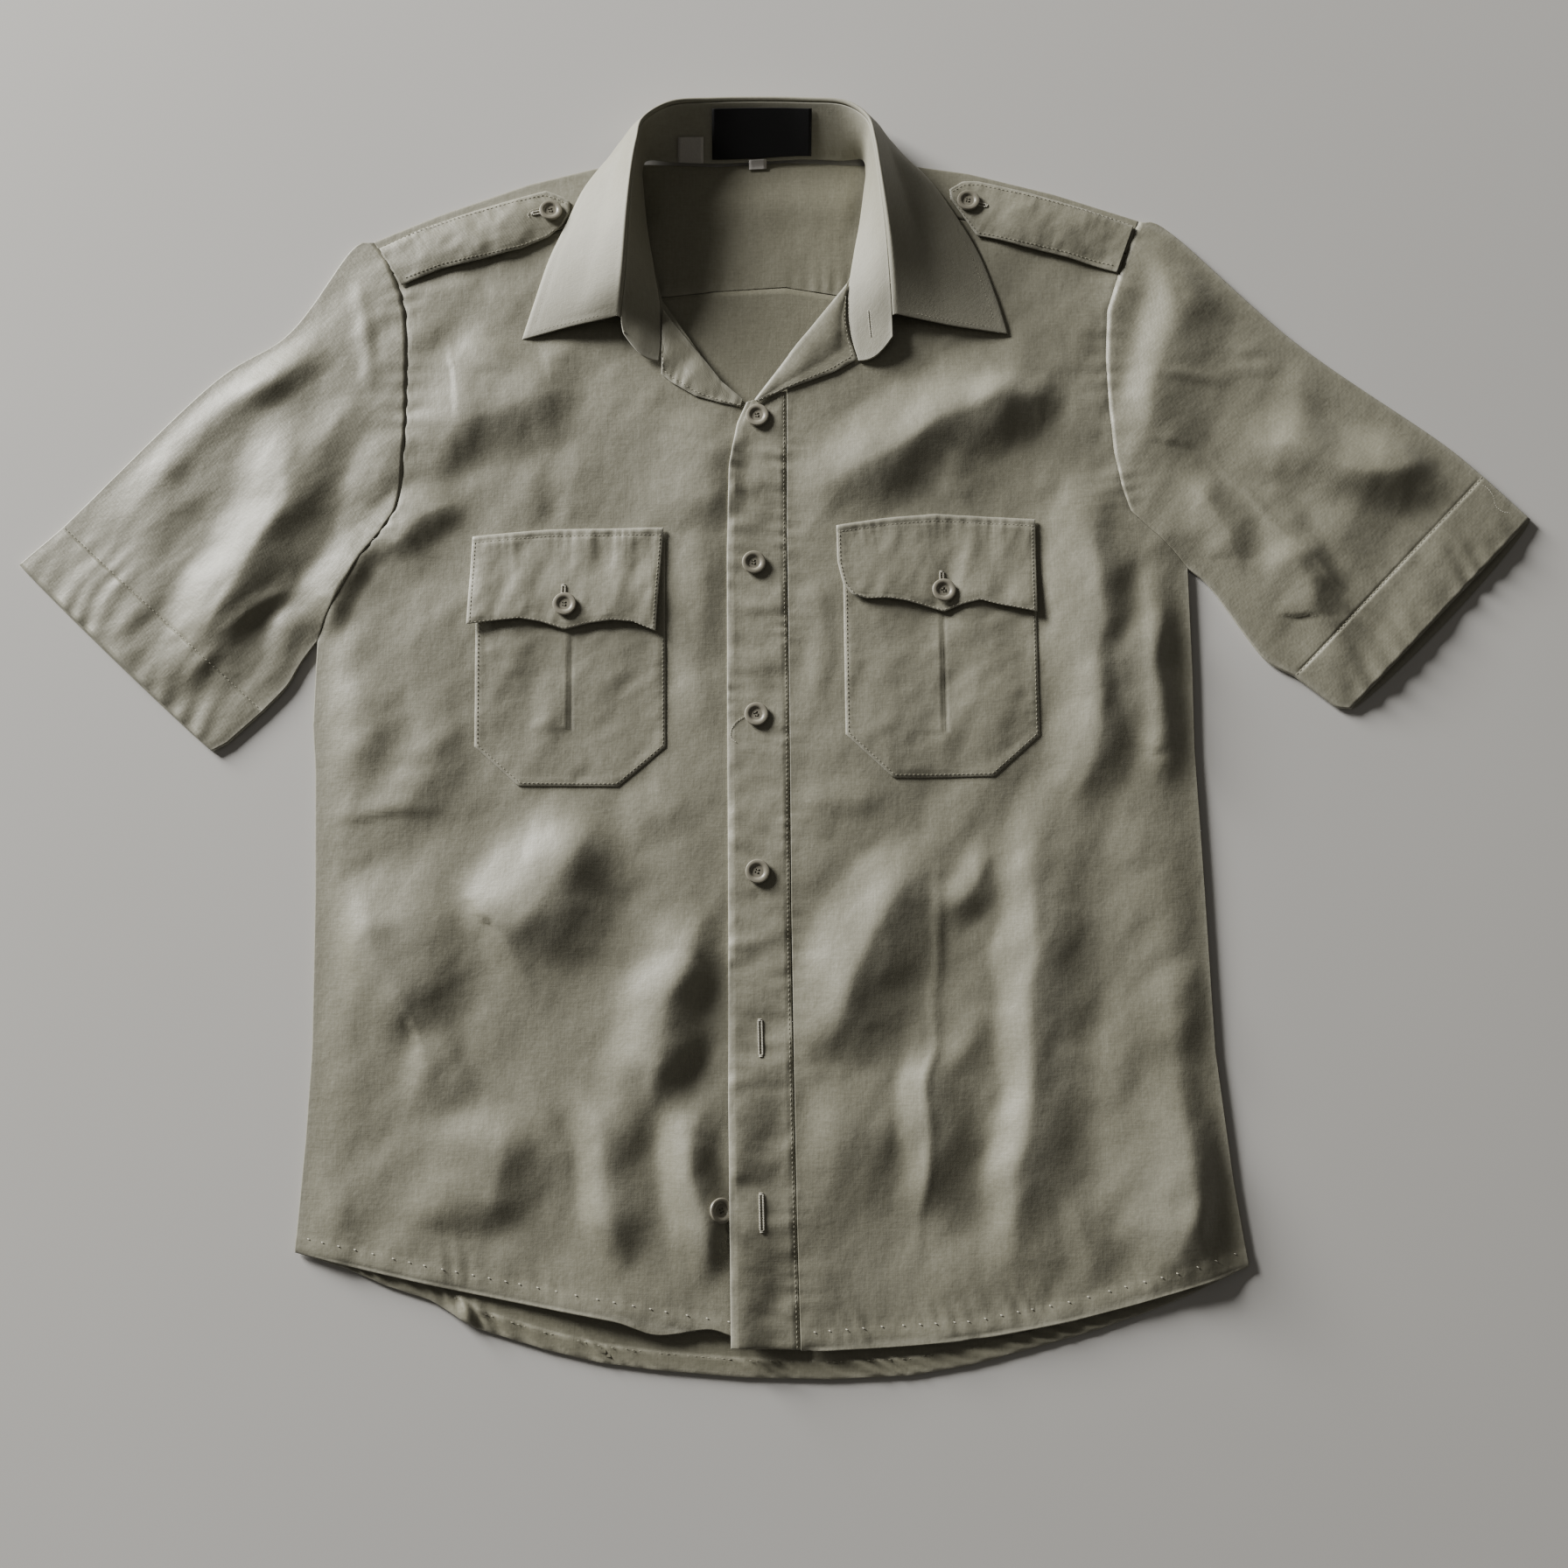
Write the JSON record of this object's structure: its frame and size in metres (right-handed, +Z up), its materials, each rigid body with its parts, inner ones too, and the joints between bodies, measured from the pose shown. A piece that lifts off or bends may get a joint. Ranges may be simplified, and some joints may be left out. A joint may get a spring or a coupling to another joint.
{
  "type": "short-sleeve button-up shirt",
  "caption": "Short-sleeve khaki button-up shirt with open pointed collar, shoulder straps, two flap chest pockets and curved tails, laid flat on its back.",
  "frame": {"origin": "middle of the shirt's outline in plan, at the surface it lies on", "axes": "+X across the shirt towards the wearer's left sleeve, +Y from the hem to the collar, +Z up from the surface"},
  "size_m": [0.9583, 0.8128, 0.0334],
  "materials": {
    "cloth": "matt twill",
    "collar": "pressed matt twill",
    "button": "semi-gloss, slightly mottled",
    "label": "bare woven satin",
    "tab": "bare woven tape"
  },
  "bodies": {
    "root": {"back": "cloth", "button_flap_left": "button", "button_flap_right": "button", "button_placket_1": "button", "button_placket_2": "button", "button_placket_3": "button", "button_placket_4": "button", "button_strap_left": "button", "button_strap_right": "button", "button_undone": "button", "care_tab": "tab", "collar_leaf": "collar", "collar_stand": "collar", "facing_left": "cloth", "facing_right": "cloth", "flap_left": "cloth", "flap_right": "cloth", "front_left": "cloth", "front_right": "cloth", "neck_label": "label", "placket": "cloth", "pocket_left": "cloth", "pocket_right": "cloth", "size_tab": "tab", "sleeve_left": "cloth", "sleeve_right": "cloth", "strap_left": "cloth", "strap_right": "cloth", "yoke": "cloth"}
  },
  "joints": []
}
